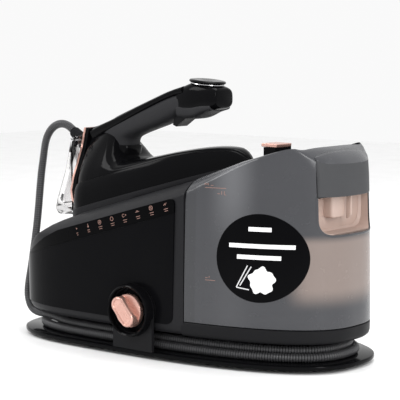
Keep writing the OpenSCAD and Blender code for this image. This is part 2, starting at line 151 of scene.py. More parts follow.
def soft_min(a, b, k=2.5):
    low = min(a, b)
    return low - k * math.log(math.exp((low - a) / k) + math.exp((low - b) / k))


HOSE_END = [(-226, 58), (-219, 80), (-205, 97), (-190, 110), (-172, 123), (-155, 136), (-140, 143.5),
            (-128, 148), (-110, deck_at(-110) + 1), (SEAM_X + 200, deck_at(SEAM_X + 200) + 1)]
TANK_END = [(0, 400), (150, 300), (168, 245), (184, 241.5), (196, 236.5), (207, 230), (215, 222.5),
            (218.5, 214), (226, 200)]


def housing_top(x, y):
    """Height of the housing's top surface."""
    return soft_min(deck_at(x) - shoulder(y), along(HOSE_END, x))


def tank_top(x, y):
    """Height of the tank's top surface; near its end it falls off with the distance from the outline."""
    rise = 4 * min(1, max(0, (x - SEAM_X) / 60))
    a, b = BASE_LEN / 2 - WIDE_X, BASE_W / 2
    across = (max(0, x - WIDE_X) / a) ** NOSE_E + (abs(y) / b) ** NOSE_E
    near_end = min(1, max(0, (x - 176) / 28))
    reach = x + (WIDE_X + a * across ** (1 / NOSE_E) - x) * near_end
    return soft_min(deck_at(x) + rise - 1.12 * shoulder(y), along(TANK_END, reach))


# ---- mesh helpers ----------------------------------------------------------
def new_piece(name, verts, faces, sharp=35):
    """A smooth-shaded mesh piece from points in millimetres."""
    mesh = bpy.data.meshes.new(name)
    mesh.from_pydata([Vector(v) * MM for v in verts], [], faces)
    bm = bmesh.new()
    bm.from_mesh(mesh)
    bmesh.ops.remove_doubles(bm, verts=bm.verts, dist=2e-6)
    bmesh.ops.recalc_face_normals(bm, faces=bm.faces)
    bm.to_mesh(mesh)
    bm.free()
    mesh.shade_smooth()
    mesh.set_sharp_from_angle(angle=math.radians(sharp))
    obj = bpy.data.objects.new(name, mesh)
    bpy.context.scene.collection.objects.link(obj)
    return obj


def loft(name, rings, closed=True, ends=True, sharp=35):
    """Skin over rings of equal length. Open rings get a face along each of their two long edges; the side
    between those edges stays open."""
    n = len(rings[0])
    verts = [p for ring in rings for p in ring]
    faces = []
    for i in range(len(rings) - 1):
        for k in range(n if closed else n - 1):
            q = (k + 1) % n
            faces.append((i * n + k, i * n + q, (i + 1) * n + q, (i + 1) * n + k))
    if ends:
        faces.append(tuple(range(n)))
        faces.append(tuple((len(rings) - 1) * n + k for k in range(n)))
    if not closed and ends:
        faces.append(tuple(i * n for i in range(len(rings))))
        faces.append(tuple(i * n + n - 1 for i in range(len(rings))))
    return new_piece(name, verts, faces, sharp)


def lathe(name, profile, place, turn, around=72, sharp=35):
    """A profile of (radius, height) turned about the local Z axis, then placed."""
    rings = [[(r * math.cos(2 * math.pi * k / around), r * math.sin(2 * math.pi * k / around), h)
              for k in range(around)] for r, h in profile]
    solid = profile[0][0] < 0.02 and profile[-1][0] < 0.02
    obj = loft(name, rings if solid else rings + [rings[0]], ends=False, sharp=sharp)
    obj.data.transform(Matrix.Translation(Vector(place) * MM) @ turn)
    return obj


def round_poly(points, radii, steps=7):
    """A closed outline with each corner rounded to its radius."""
    out, n = [], len(points)
    for i in range(n):
        p = Vector(points[i])
        a, b = Vector(points[i - 1]) - p, Vector(points[(i + 1) % n]) - p
        r = radii[i] if isinstance(radii, (list, tuple)) else radii
        half = a.angle(b) / 2
        cut = min(r / math.tan(half), a.length * 0.49, b.length * 0.49)
        s, e = p + a.normalized() * cut, p + b.normalized() * cut
        for k in range(steps + 1):
            t = k / steps
            out.append(tuple(s * (1 - t) ** 2 + p * 2 * t * (1 - t) + e * t * t))
    return out


def plate(name, outline, y0, y1, edge=0.8, sharp=35):
    """An outline in X and Z drawn along Y, with a rounded edge."""
    def ring(y, inset):
        pts = []
        n = len(outline)
        for i, p in enumerate(outline):
            t = Vector(outline[(i + 1) % n]) - Vector(outline[i - 1])
            normal = Vector((t.y, -t.x)).normalized() if t.length else Vector((0, 0))
            q = Vector(p) - normal * inset * signed
            pts.append((q.x, y, q.y))
        return pts
    area = sum(outline[i - 1][0] * outline[i][1] - outline[i][0] * outline[i - 1][1]
               for i in range(len(outline)))
    signed = 1 if area > 0 else -1
    steps = [(0, 1), (0.12, 0.5), (0.45, 0.15), (1, 0)]
    rings = [ring(y0 + edge * a, edge * b) for a, b in steps]
    rings += [ring(y1 - edge * a, edge * b) for a, b in reversed(steps)]
    return loft(name, rings, sharp=sharp)


def cut(obj, tool, operation="DIFFERENCE"):
    """Apply a boolean with a tool mesh, and delete the tool."""
    mod = obj.modifiers.new("cut", "BOOLEAN")
    mod.object, mod.operation, mod.solver = tool, operation, "EXACT"
    bpy.context.view_layer.update()
    shaped = obj.evaluated_get(bpy.context.evaluated_depsgraph_get())
    mesh = bpy.data.meshes.new_from_object(shaped)
    obj.modifiers.clear()
    old, obj.data = obj.data, mesh
    bpy.data.meshes.remove(old)
    bpy.data.objects.remove(tool)
    mesh.shade_smooth()
    mesh.set_sharp_from_angle(angle=math.radians(30))
    return obj


def stroke_piece(name, strokes, at, width=0.55, proud=0.12):
    """Thin raised lines along polylines on a surface; at(u, v) gives a point of it and its normal."""
    verts, faces = [], []
    for line in strokes:
        length = sum(math.dist(a, b) for a, b in zip(line, line[1:]))
        line = even(line, max(3, int(length / 1.2)))
        base = len(verts)
        for i, p in enumerate(line):
            d = (Vector(line[min(i + 1, len(line) - 1)]) - Vector(line[max(i - 1, 0)])).normalized()
            side = Vector((-d.y, d.x)) * width / 2
            for offset, level in ((-side, -0.05), (-side, proud), (side, proud), (side, -0.05)):
                q, normal = at(p[0] + offset.x, p[1] + offset.y)
                verts.append(tuple(Vector(q) + Vector(normal) * level))
        for i in range(len(line) - 1):
            a, b = base + 4 * i, base + 4 * i + 4
            faces += [(a + k, a + (k + 1) % 4, b + (k + 1) % 4, b + k) for k in range(4)]
        faces += [(base, base + 1, base + 2, base + 3),
                  tuple(base + 4 * (len(line) - 1) + k for k in (3, 2, 1, 0))]
    return new_piece(name, verts, faces)


def circle(u, v, r, count=14, start=0, sweep=360):
    return [(u + r * math.cos(math.radians(start + sweep * k / count)),
             v + r * math.sin(math.radians(start + sweep * k / count))) for k in range(count + 1)]


# ---- materials -------------------------------------------------------------
def surface(name, colour, rough, metal=0.0, coat=0.0, grain=900.0, bump=0.02, spread=0.08, tone=0.06,
            scale=14.0, stretch=None, transmission=0.0, shine=0.5):
    """Moulded or drawn material: colour drifts with one noise, roughness and bump with finer ones."""
    mat = bpy.data.materials.new(name)
    mat.use_nodes = True
    nodes, links = mat.node_tree.nodes, mat.node_tree.links
    shader = nodes["Principled BSDF"]
    shader.inputs["Metallic"].default_value = metal
    shader.inputs["Coat Weight"].default_value = coat
    shader.inputs["Coat Roughness"].default_value = 0.06
    shader.inputs["Transmission Weight"].default_value = transmission
    shader.inputs["Specular IOR Level"].default_value = shine
    place = nodes.new("ShaderNodeTexCoord")
    mapping = nodes.new("ShaderNodeMapping")
    mapping.inputs["Scale"].default_value = stretch or (1, 1, 1)
    links.new(place.outputs["Object"], mapping.inputs["Vector"])

    def noise(size, detail):
        node = nodes.new("ShaderNodeTexNoise")
        node.inputs["Scale"].default_value = size
        node.inputs["Detail"].default_value = detail
        links.new(mapping.outputs["Vector"], node.inputs["Vector"])
        return node.outputs["Fac"]

    mix = nodes.new("ShaderNodeMix")
    mix.data_type = "RGBA"
    low = [max(0, c * (1 - tone) - tone * 0.012) for c in colour]
    high = [min(1, c * (1 + tone) + tone * 0.02) for c in colour]
    mix.inputs["A"].default_value = (*low, 1)
    mix.inputs["B"].default_value = (*high, 1)
    links.new(noise(scale, 3), mix.inputs["Factor"])
    links.new(mix.outputs["Result"], shader.inputs["Base Color"])
    spread_node = nodes.new("ShaderNodeMapRange")
    spread_node.inputs["To Min"].default_value = max(0.02, rough - spread)
    spread_node.inputs["To Max"].default_value = min(1, rough + spread)
    links.new(noise(scale * 6, 4), spread_node.inputs["Value"])
    links.new(spread_node.outputs["Result"], shader.inputs["Roughness"])
    relief = nodes.new("ShaderNodeBump")
    relief.inputs["Strength"].default_value = bump
    relief.inputs["Distance"].default_value = 0.0004
    links.new(noise(grain, 2), relief.inputs["Height"])
    links.new(relief.outputs["Normal"], shader.inputs["Normal"])
    return mat


GLOSS = surface("gloss_black", (0.003, 0.003, 0.0035), 0.12, bump=0.01, spread=0.03, shine=0.05, tone=0.04)
PANEL = surface("panel_black", (0.003, 0.003, 0.0036), 0.2, bump=0.008, spread=0.03, shine=0.025, tone=0.04)
STRIP = surface("strip_black", (0.0012, 0.0012, 0.0015), 0.16, bump=0.008, spread=0.03, shine=0.03, tone=0.03)
SATIN = surface("satin_black", (0.009, 0.009, 0.01), 0.42, bump=0.12, grain=2600, shine=0.08)
FRAME = surface("frame_black", (0.014, 0.014, 0.0155), 0.4, bump=0.1, grain=2600, shine=0.08)
GREY = surface("grey_matte", (0.05, 0.051, 0.054), 0.6, bump=0.25, grain=2200, shine=0.2)
GRIP = surface("grip_soft", (0.022, 0.022, 0.024), 0.6, bump=0.25, grain=2200, shine=0.12)
ROSE = surface("rose_gold", (0.62, 0.37, 0.31), 0.28, metal=0.8, bump=0.05, grain=1500, spread=0.07)
ROSE_INK = surface("rose_ink", (0.3, 0.165, 0.135), 0.5)
SMOKE = surface("smoky_tank", (0.046, 0.047, 0.052), 0.26, bump=0.02, grain=500, spread=0.05, shine=0.35)
CLEAR = surface("heel_clear", (0.8, 0.79, 0.79), 0.05, transmission=1.0, bump=0.01, spread=0.02)
BEIGE = surface("rose_plastic", (0.47, 0.35, 0.3), 0.45, bump=0.06, grain=1600, tone=0.1)
RUBBER = surface("rubber_black", (0.01, 0.01, 0.011), 0.7, bump=0.3, grain=1800, shine=0.15)
HOSE = surface("hose_braid", (0.05, 0.05, 0.053), 0.34, bump=0.3, grain=3000, spread=0.1, shine=0.4)
STEEL = surface("steel", (0.55, 0.55, 0.56), 0.28, metal=1.0, stretch=(1, 20, 20), bump=0.08)
CAST = surface("cast_metal", (0.5, 0.5, 0.51), 0.5, metal=1.0, bump=0.4, grain=700)
JACKET = surface("jacket_felt", (0.62, 0.58, 0.5), 0.95, bump=0.8, grain=1400, tone=0.2)
CIRCUIT = surface("circuit", (0.02, 0.12, 0.05), 0.45, bump=0.2)
INNER = surface("inner_plastic", (0.1, 0.1, 0.11), 0.5, bump=0.2)
COPPER = surface("copper_pipe", (0.62, 0.33, 0.2), 0.3, metal=1.0)
SILICONE = surface("clear_pipe", (0.62, 0.62, 0.58), 0.4)
STICKER = surface("sticker_black", (0.0015, 0.0015, 0.002), 0.14, bump=0.005, spread=0.03, shine=0.04)
WHITE_INK = surface("white_ink", (0.8, 0.8, 0.8), 0.45)
SILVER = surface("silver_line", (0.7, 0.7, 0.71), 0.2, metal=1.0)
# painted shade: a darker black for the hose groove's wall and the knob's well, where shade falls
PAINTED_SHADE_BLACK = surface("painted_shade_black", (0.004, 0.004, 0.005), 0.6, shine=0.1)

SLOT_LOOK = {
    "gloss_black": GLOSS, "satin_black": SATIN, "grey_matte": GREY, "rose_gold": ROSE, "smoky_clear": SMOKE,
    "heel_clear": CLEAR, "rose_plastic": BEIGE, "rubber_black": RUBBER, "hose_braid": HOSE, "steel": STEEL,
    "cast_metal": CAST, "jacket": JACKET, "circuit": CIRCUIT, "inner_plastic": INNER, "copper_pipe": COPPER,
    "clear_pipe": SILICONE,
}


def dress(obj, body, slot_name, look, *nodes):
    """Gives a new piece its material and body, and hides the CAD nodes that it stands for; slot_name is not
    used.
    """
    obj.data.materials.clear()
    obj.data.materials.append(look)
    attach(obj, body)
    if nodes:
        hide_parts(*nodes)
    return obj


# ---- CAD nodes that stay: material by slot, and small rounded edges --------
def carry_over():
    """Gives every CAD node its look."""
    looks = {s["node"]: SLOT_LOOK[s["material_slot"]] for s in frame["record"]["subparts"]}
    bevels = {"rubber_feet": 1.0, "knob_bracket": 0.8, "lock_slider": 0.9, "cord_gland": 0.6,
              "tank_base": 0.8, "water_pump": 1.2, "rest_pads": 0.5, "trigger": 1.0}
    for name, obj in frame["nodes"].items():
        obj.data.materials.clear()
        obj.data.materials.append(looks[name])
        if name in bevels:
            mod = obj.modifiers.new("edge", "BEVEL")
            mod.width = bevels[name] * MM
            mod.segments = 3
            mod.limit_method = "ANGLE"
            mod.angle_limit = math.radians(40)


# ---- base station ----------------------------------------------------------
def ring_at(inset, z, count=AROUND):
    return [(x, y, z) for x, y in oval_ring(inset, count)]


def base_plate():
    """Glossy foot plate with rounded edges."""
    edge = 1.4
    rows = [(2.5, FOOT_H), (edge * 0.4, FOOT_H + 0.3), (0, FOOT_H + edge), (0, PLATE_Z - edge),
            (edge * 0.3, PLATE_Z - edge * 0.3), (edge, PLATE_Z)]
    shell = loft("base_plate_shell", [ring_at(d, z) for d, z in rows])
    dress(shell, "base", "gloss_black", GLOSS, "base_plate")


def drum():
    """Inner wall of the hose groove, in a black darkened as painted shade."""
    outer, inner, low, high = 34, 37, PLATE_Z + 0.2, TRAY_Z - 0.2
    rows = [(outer, low), (outer, high), (inner, high), (inner, low), (outer, low)]
    wall = loft("groove_wall", [ring_at(d, z) for d, z in rows], ends=False)
    dress(wall, "base", "satin_black", PAINTED_SHADE_BLACK, "hose_drum")


def wall_inset(z, tank):
    """The walls lean in slightly as they rise."""
    lean = 4.0 if tank else 2.0
    return (TANK_IN if tank else SHELL_IN) + lean * max(0, min(1, (z - TANK_Z) / 165)) ** 1.4


def skirt():
    """Bottom tray: rounded underside, and the band on which the tank's side stands."""
    rows = [(14, TRAY_Z), (8.5, TRAY_Z + 0.5), (6.3, TRAY_Z + 2.4), (5.3, TRAY_Z + 5.5)]
    top = TANK_Z - 0.6
    rings = [[(x, y, z) for x, y in oval_arc(d, SEAM_X - 3, True)]
             for d, z in rows + [(5.0, top - 0.6), (5.6, top), (9, top)]]
    dress(loft("tray_band", rings, closed=False), "base", "satin_black", SATIN, "chassis_tray")


def body_housing():
    """Moulded housing behind the glossy panels, from the tray up to under the deck."""
    x_cut = SEAM_X - 0.3
    wall_foot = TRAY_Z + 13
    bottom = [(18, TRAY_Z), (11.5, TRAY_Z + 0.9), (8, TRAY_Z + 3.2), (6, TRAY_Z + 7), (5, wall_foot)]
    rings = [[(x, y, z) for x, y in oval_arc(d, x_cut, False)] for d, z in bottom]
    wall_rows, roof_rows = 9, [(0.3, -2.2), (1.2, -0.7), (3, -0.1), (7, 0), (14, 0), (24, 0), (40, -1.5)]
    for k in range(1, wall_rows + 1):
        f = k / wall_rows
        heights = [wall_foot + (housing_top(x, y) - 4 - wall_foot) * f
                   for x, y in oval_arc(SHELL_IN, x_cut, False)]
        arc = oval_arc(SHELL_IN + 1.2 * f, x_cut, False)
        rings.append([(x, y, z) for (x, y), z in zip(arc, heights)])
    for extra, drop in roof_rows:
        arc = oval_arc(SHELL_IN + 1.2 + extra, x_cut, False)
        rings.append([(x, y, housing_top(x, y) + drop) for x, y in arc])
    obj = loft("station_housing", rings, closed=False)
    cut(obj, lathe("hole", [(0.01, -30), (24, -30), (24, 20), (0.01, 20)], KNOB, FACE_FRONT))
    dress(obj, "base", "satin_black", FRAME, "body_shell")


def wall_point(x, z, side=-1, proud=0.0, tank=False):
    """Point on the side wall at x and height z, with its outward normal."""
    inset = (wall_inset(z, True) if tank else SHELL_IN + 0.6) - proud
    def y_of(q):
        t = turn_at(q, inset)
        return side * abs(oval_point(t, inset)[1])
    slope = (y_of(x + 0.5) - y_of(x - 0.5))
    normal = Vector((-slope * side, 1 * side, 0.02)).normalized()
    return (x, y_of(x), z), normal


def band(name, side, thick, x_cut):
    """Curved plate over the housing's wall on one side, to be trimmed to its outline."""
    def arc(inset):
        t0, t1 = turn_at(x_cut, inset), turn_at(-224, inset)
        pts = [oval_point(side * (t0 + (t1 - t0) * i / 400), inset) for i in range(401)]
        return even(pts, 130)
    outer, inner = arc(SHELL_IN - thick), arc(SHELL_IN + 2.0)
    z0, z1 = 30, 210
    rings = [[(x, y, z0) for x, y in inner], [(x, y, z0) for x, y in outer],
             [(x, y, z1) for x, y in outer], [(x, y, z1) for x, y in inner]]
    obj = loft(name, rings + [rings[0]], closed=False, ends=False)
    bm = bmesh.new()
    bm.from_mesh(obj.data)
    bmesh.ops.holes_fill(bm, edges=[e for e in bm.edges if e.is_boundary])
    bmesh.ops.recalc_face_normals(bm, faces=bm.faces)
    bm.to_mesh(obj.data)
    bm.free()
    return obj


PANEL_TOP = 17
STRIP_H = 17


def panel_outline(drop_top, drop_low=None):
    """Side outline of the glossy panel, or of the touch strip at its top."""
    right = SEAM_X - 12
    top = [(right + 1, deck_at(right) - drop_top), (-124, deck_at(-124) - drop_top),
           (-150, deck_at(-150) - drop_top - 4), (-178, 106), (-208, 84), (-232, 58)]
    if drop_low is None:
        return round_poly([(-232, 42), (right - 2, 42)] + top, [2, 10, 11, 20, 12, 25, 20, 2])
    low = [(-188, deck_at(-188) - drop_low), (right + 1, deck_at(right) - drop_low)]
    return round_poly(low + top[:-2], [0.5, 1.5, 11, 20, 12, 2])


def glossy_panels():
    """Glossy panels of both sides; the front one has the touch strip above it and a hole for the knob."""
    def side_piece(name, outline, thick, front=True, gap=None):
        obj = band(name, 1, thick, SEAM_X - 9)
        cut(obj, plate("trim", outline, 14, 140, 0.1), "INTERSECT")
        if gap:
            cut(obj, plate("strip_gap", gap, 13, 141, 0.1))
            hole = [(KNOB.x + 30.2 * math.cos(math.radians(a)), KNOB.z + 30.2 * math.sin(math.radians(a)))
                    for a in range(0, 360, 5)]
            cut(obj, plate("knob_hole", hole, 80, 142, 0.1))
        if front:
            for vertex in obj.data.vertices:
                vertex.co.y = -vertex.co.y
            obj.data.flip_normals()
        return obj

    front = side_piece("panel_front", panel_outline(PANEL_TOP), 0.9,
                       gap=panel_outline(PANEL_TOP - 3, PANEL_TOP + STRIP_H))
    dress(front, "base", "gloss_black", PANEL, "front_panel")
    strip = side_piece("touch_strip", panel_outline(PANEL_TOP, PANEL_TOP + STRIP_H - 0.35), 0.85)
    dress(strip, "base", "gloss_black", STRIP, "control_strip")
    rear = side_piece("panel_rear", panel_outline(PANEL_TOP), 0.9, front=False)
    dress(rear, "base", "gloss_black", PANEL, "rear_panel")


def strip_marks():
    """Eight generic touch symbols, each over two small bars."""
    icons = [
        [circle(0, 0, 0.9)], [[(0, -2), (0, 2)], circle(0, -1.2, 1.1)],
        [circle(0, 0, 2.3), [(-1.2, 0), (1.2, 0)], [(0, -1.2), (0, 1.2)]], [circle(0, 0, 2.2)],
        [circle(-1.4, 0, 1.7, 12, 40, 280), circle(2, 0, 0.9)], [[(-2.6, 0), (2.6, 0)], [(-1, 1), (1, 1)]],
        [circle(0, 0, 2.4), [(-1.4, 0.8), (1.4, 0.8)], [(-1.4, -0.8), (1.4, -0.8)]],
        [[(-2, -1.2), (0, 1.2), (0, -1.2), (2, 1.2)]],
    ]
    strokes = []
    first, last = -92, 38
    tilt = math.atan(DECK_SLOPE)
    for k, icon in enumerate(icons):
        x = first + (last - first) * k / (len(icons) - 1) * (0.96 + 0.04 * k / 7)
        z = deck_at(x) - PANEL_TOP - 4.6
        wide = 1.2 + 1.7 * min(1, k / 2)
        bars = [[(-wide, -5), (wide, -5)], [(-wide * 0.8, -7.2), (wide * 0.8, -7.2)]]
        for line in icon + bars:
            strokes.append([(x + u * math.cos(tilt) - v * 0.25, z + u * math.sin(tilt) + v) for u, v in line])
    obj = stroke_piece("strip_marks", strokes, lambda x, z: wall_point(x, z, proud=1.45), 0.5, 0.08)
    dress(obj, "base", "rose_gold", ROSE_INK)


def polar_radius(outline, centre, angle):
    """Distance from centre to a closed outline in one direction."""
    d = Vector((math.cos(angle), math.sin(angle)))
    best = 0
    for i in range(len(outline)):
        a, b = Vector(outline[i - 1]) - centre, Vector(outline[i]) - centre
        e = b - a
        det = d.x * e.y - d.y * e.x
        if abs(det) < 1e-9:
            continue
        t = (a.x * e.y - a.y * e.x) / det
        s = (a.x * d.y - a.y * d.x) / det
        if t > 0 and -1e-6 <= s <= 1 + 1e-6:
            best = max(best, t)
    return best


def sole_half(u):
    """Half width of the sole, from its rear at u = 0 to its tip at u = 1."""
    wide = SOLE_W / 2 * (1 - max(0, (u - 0.12) / 0.88) ** 2) ** 0.75
    return wide * (1 - 0.35 * (1 - u / 0.12) ** 2.4 if u < 0.12 else 1)


def sole_outline(grow=0.0, count=60):
    """Closed plan outline of the sole, larger by grow all round."""
    mid = (SOLE_TIP + SOLE_REAR) / 2
    sx, sy = 1 + 2 * grow / SOLE_LEN, 1 + 2 * grow / SOLE_W
    us = [0.5 - 0.5 * math.cos(math.pi * i / count) for i in range(count + 1)]
    side = [(mid + (SOLE_REAR + SOLE_LEN * u - mid) * sx, sole_half(u) * sy) for u in us]
    return side + [(x, -y) for x, y in reversed(side[:-1])]


def deck_plate():
    """Deck with its rounded rim and the bed in which the sole lies."""
    centre = Vector((-40, 0))
    plan_body = oval_arc(SHELL_IN + 1.4, SEAM_X - 0.3, False)
    end = round_poly([(SEAM_X - 0.3, -DECK_HALF), (DECK_END, -DECK_HALF + 4), (DECK_END, DECK_HALF - 4),
                      (SEAM_X - 0.3, DECK_HALF)], [1, 22, 22, 1])
    outer = plan_body + list(reversed(end))
    inner = sole_outline(8)
    count = 300
    angles = [2 * math.pi * (k + 0.5) / count for k in range(count)]
    far = [polar_radius(outer, centre, a) for a in angles]
    near = [polar_radius(inner, centre, a) for a in angles]

    def ring(f, inset, height, bed=False):
        out = []
        for a, r0, r1 in zip(angles, far, near):
            r = r1 + (r0 - r1) * f - inset
            x, y = centre.x + r * math.cos(a), centre.y + r * math.sin(a)
            top = deck_at(x) if bed else housing_top(x, y) if x < SEAM_X else deck_at(x) - shoulder(y)
            out.append((x, y, top + height))
        return out

    rings = [ring(1, 3, -11.5), ring(1, 0, -11), ring(1, 0, -2.2), ring(1, 0.7, -0.6), ring(1, 2, 0)]
    rings += [ring(f, 0, 0) for f in (0.85, 0.65, 0.45, 0.25, 0.1)]
    rings += [ring(0, -1.2, 0), ring(0, -0.3, -0.4), ring(0, 0, -1.3), ring(0, 0.6, -BED_DEPTH, True),
              ring(0, 14, -BED_DEPTH, True)]
    obj = loft("deck_plate", rings, sharp=40)
    dress(obj, "base", "satin_black", FRAME, "deck")


# ---- water tank ------------------------------------------------------------
def channel_edge(x, y):
    """Nearest point of the U-shaped edge beside the deck, on the way inwards from (x, y)."""
    half, end, r = DECK_HALF + 0.6, DECK_END + 0.6, 22
    cx, cy = end - r, half - r
    ay = abs(y)
    if x <= cx:
        return x, math.copysign(half, y)
    angle = math.atan2(ay, x - cx + 1e-9)
    dx, dy = math.cos(angle), math.sin(angle)
    t = min((end - cx) / max(dx, 1e-9), half / max(dy, 1e-9))
    px, py = cx + dx * t, dy * t
    if px > cx and py > cy:
        a2 = math.atan2(py - cy, px - cx)
        px, py = cx + r * math.cos(a2), cy + r * math.sin(a2)
    return px, math.copysign(py, y)


def tank():
    """Smoky tank: leaning walls, creased shoulder, channel for the deck, finger pocket and fill opening."""
    x_cut = SEAM_X + 1
    bottom = [(12, TANK_Z), (6.6, TANK_Z), (5.4, TANK_Z + 0.5), (5, TANK_Z + 1.6)]
    rings = [[(x, y, z) for x, y in oval_arc(d, x_cut, True)] for d, z in bottom]
    base_arc = oval_arc(5, x_cut, True)
    rows, arcs = 12, {}
    for k in range(1, rows + 1):
        ring = []
        for i, (x, y) in enumerate(base_arc):
            z1 = tank_top(x, y) - 5
            z = TANK_Z + 1.6 + (z1 - TANK_Z - 1.6) * k / rows
            inset = round(wall_inset(z, True), 2)
            if inset not in arcs:
                arcs[inset] = oval_arc(inset, x_cut, True)
            ring.append((*arcs[inset][i], z))
        rings.append(ring)
    for extra, drop in [(0.15, -2.4), (0.8, -0.9), (2, -0.2)]:
        arc = oval_arc(9 + extra, x_cut, True)
        rings.append([(x, y, tank_top(x, y) + drop) for x, y in arc])
    outer = oval_arc(11.5, x_cut, True)
    edges = [channel_edge(x, y) for x, y in outer]
    for f in (0.08, 0.2, 0.4, 0.6, 0.8, 0.93, 1):
        ring = []
        for (x, y), (ex, ey) in zip(outer, edges):
            px, py = x + (ex - x) * f, y + (ey - y) * f
            ring.append((px, py, tank_top(px, py) - (1.2 if f == 1 else 0)))
        rings.append(ring)
    rings.append([(ex, ey, deck_at(ex) - 12.6) for ex, ey in edges])
    obj = loft("tank_body", rings, closed=False)
    pocket = round_poly([(-END_HALF, POCKET_Z), (END_HALF, POCKET_Z), (END_HALF, FLAP_Z + 1),
                         (-END_HALF, FLAP_Z + 1)], [16, 16, 1, 1])
    tool = loft("pocket_tool", [[(x, y, z) for y, z in pocket] for x in (POCKET_BACK, PAST_END)])
    cut(obj, tool)
    flap_hole = [(-END_HALF, FLAP_Z), (END_HALF, FLAP_Z), (END_HALF, 260), (-END_HALF, 260)]
    tool = loft("flap_tool", [[(x, y, z) for y, z in flap_hole] for x in (FLAP_BACK, PAST_END)])
    cut(obj, tool)
    dress(obj, "tank", "smoky_clear", tank_look(), "tank_shell")


def tank_look():
    """Smoky plastic with painted light: a painted warm glow of light through the end, and a painted sheen
    band that lightens upwards; darker at the foot and in a strip beside the joint.
    """
    mat = SMOKE.copy()
    mat.name = "smoky_tank_painted_light"
    nodes, links = mat.node_tree.nodes, mat.node_tree.links
    shader = nodes["Principled BSDF"]
    base = shader.inputs["Base Color"].links[0].from_socket
    place = nodes.new("ShaderNodeTexCoord")
    split = nodes.new("ShaderNodeSeparateXYZ")
    links.new(place.outputs["Object"], split.inputs["Vector"])

    def ramp(axis, start, end, low=0.0, high=1.0):
        node = nodes.new("ShaderNodeMapRange")
        node.interpolation_type = "SMOOTHSTEP"
        for label, value in (("From Min", start), ("From Max", end), ("To Min", low), ("To Max", high)):
            node.inputs[label].default_value = value
        links.new(split.outputs[axis], node.inputs["Value"])
        return node.outputs["Result"]

    def times(a, b):
        node = nodes.new("ShaderNodeMath")
        node.operation = "MULTIPLY"
        links.new(a, node.inputs[0])
        links.new(b, node.inputs[1])
        return node.outputs["Value"]

    def blend_in(under, colour, factor):
        node = nodes.new("ShaderNodeMix")
        node.data_type = "RGBA"
        links.new(under, node.inputs["A"])
        node.inputs["B"].default_value = (*colour, 1)
        links.new(factor, node.inputs["Factor"])
        return node.outputs["Result"]

    # painted glow: light shining through the tank's end, tinted warm, painted into the colour
    painted_glow = times(times(ramp("X", 0.172, 0.196), ramp("Z", 0.066, 0.092)), ramp("Z", 0.138, 0.150, 1, 0))
    painted_glow = times(painted_glow, ramp("Y", 0.052, 0.075, 0.8, 0.0))
    # painted sheen: a lighter band across the tank's side that grows lighter towards the top
    painted_sheen_band = times(ramp("X", 0.084, 0.118), ramp("X", 0.118, 0.150, 1, 0))
    upper = times(painted_sheen_band, ramp("Z", 0.120, 0.205, 0.1, 0.75))
    frame_edge = ramp("X", 0.0745, 0.0765, 0.55, 0)
    out = blend_in(base, (0.13, 0.132, 0.14), upper)
    out = blend_in(out, (0.036, 0.037, 0.04), frame_edge)
    out = blend_in(out, (0.25, 0.198, 0.175), painted_glow)
    links.new(out, shader.inputs["Base Color"])
    return mat


def finger_pocket():
    """Warm liner of the pocket, with its boss and rib."""
    def shell(x, inset):
        half, low, high = END_HALF - inset, POCKET_Z + inset, FLAP_Z - 0.6
        pts = round_poly([(-half, high), (-half, low), (half, low), (half, high)], [0.5, 15, 15, 0.5])
        return [(x, y, z) for y, z in pts]

    def front(inset):
        return [(surface_x(y, z) - 1.6, y, z) for _, y, z in shell(0, inset)]

    rings = [front(0.3), front(2.0), shell(192, 2.4), shell(189.5, 5), shell(187.6, 5), shell(187.6, 0.3)]
    liner = loft("pocket_liner", rings + [rings[0]], ends=False)
    bm = bmesh.new()
    bm.from_mesh(liner.data)
    wall = [(-END_HALF + 4, FLAP_Z - 1), (-END_HALF + 4, POCKET_Z + 4), (END_HALF - 4, POCKET_Z + 4),
            (END_HALF - 4, FLAP_Z - 1)]
    quad = [bm.verts.new((189.2 * MM, y * MM, z * MM)) for y, z in wall]
    bm.faces.new(quad)
    bm.to_mesh(liner.data)
    bm.free()
    dress(liner, "tank", "rose_plastic", BEIGE, "tank_grip")
    boss = round_poly([(188.5, -22), (201, -22), (201, 4), (188.5, 4)], [1, 4, 4, 1])
    rows = [(FLAP_Z - 0.8, 0), (FLAP_Z - 20, 0), (FLAP_Z - 23, 0.8), (FLAP_Z - 24.2, 2.6)]
    centre = Vector((194.8, -9))
    rings = [[(*(centre + (Vector(p) - centre) * (1 - d / 9)), z) for p in boss] for z, d in rows]
    dress(loft("pocket_boss", rings), "tank", "rose_plastic", BEIGE)
    rib = round_poly([(201, FLAP_Z - 0.8), (207, FLAP_Z - 0.8), (207, FLAP_Z - 22), (203.5, FLAP_Z - 26),
                      (201, FLAP_Z - 26)], [0.5, 0.5, 3, 3, 1])
    dress(plate("pocket_rib", rib, 4, 6.4, 0.5), "tank", "rose_plastic", BEIGE)


def surface_x(y, z):
    """X of the tank's end surface at y and z."""
    inset = wall_inset(z, True)
    b = BASE_W / 2 - inset
    a = BASE_LEN / 2 - WIDE_X - inset
    s = (abs(y) / b) ** (NOSE_E / 2)
    return WIDE_X + a * (1 - s * s) ** (1 / NOSE_E)


def pocket_lip():
    """Raised frame round the pocket's opening, following the curved end."""
    path = round_poly([(-END_HALF, FLAP_Z + 0.2), (-END_HALF, POCKET_Z), (END_HALF, POCKET_Z),
                       (END_HALF, FLAP_Z + 0.2)], [0.5, 17, 17, 0.5], 10)
    outline = even(path, 120)
    rings = []
    for i, (y, z) in enumerate(outline):
        p, q = outline[max(0, i - 1)], outline[min(len(outline) - 1, i + 1)]
        t = Vector((q[0] - p[0], q[1] - p[1])).normalized()
        n = Vector((-t.y, t.x))
        ring = []
        for u, v in [(-1.1, -3), (-1.1, 0.1), (-0.6, 0.6), (0.6, 0.6), (1.3, 0.1), (1.3, -3)]:
            yy, zz = y - n.x * u, z - n.y * u
            ring.append((surface_x(yy, zz) + v, yy, zz))
        rings.append(ring)
    dress(loft("pocket_lip", rings), "tank", "smoky_clear", SMOKE)


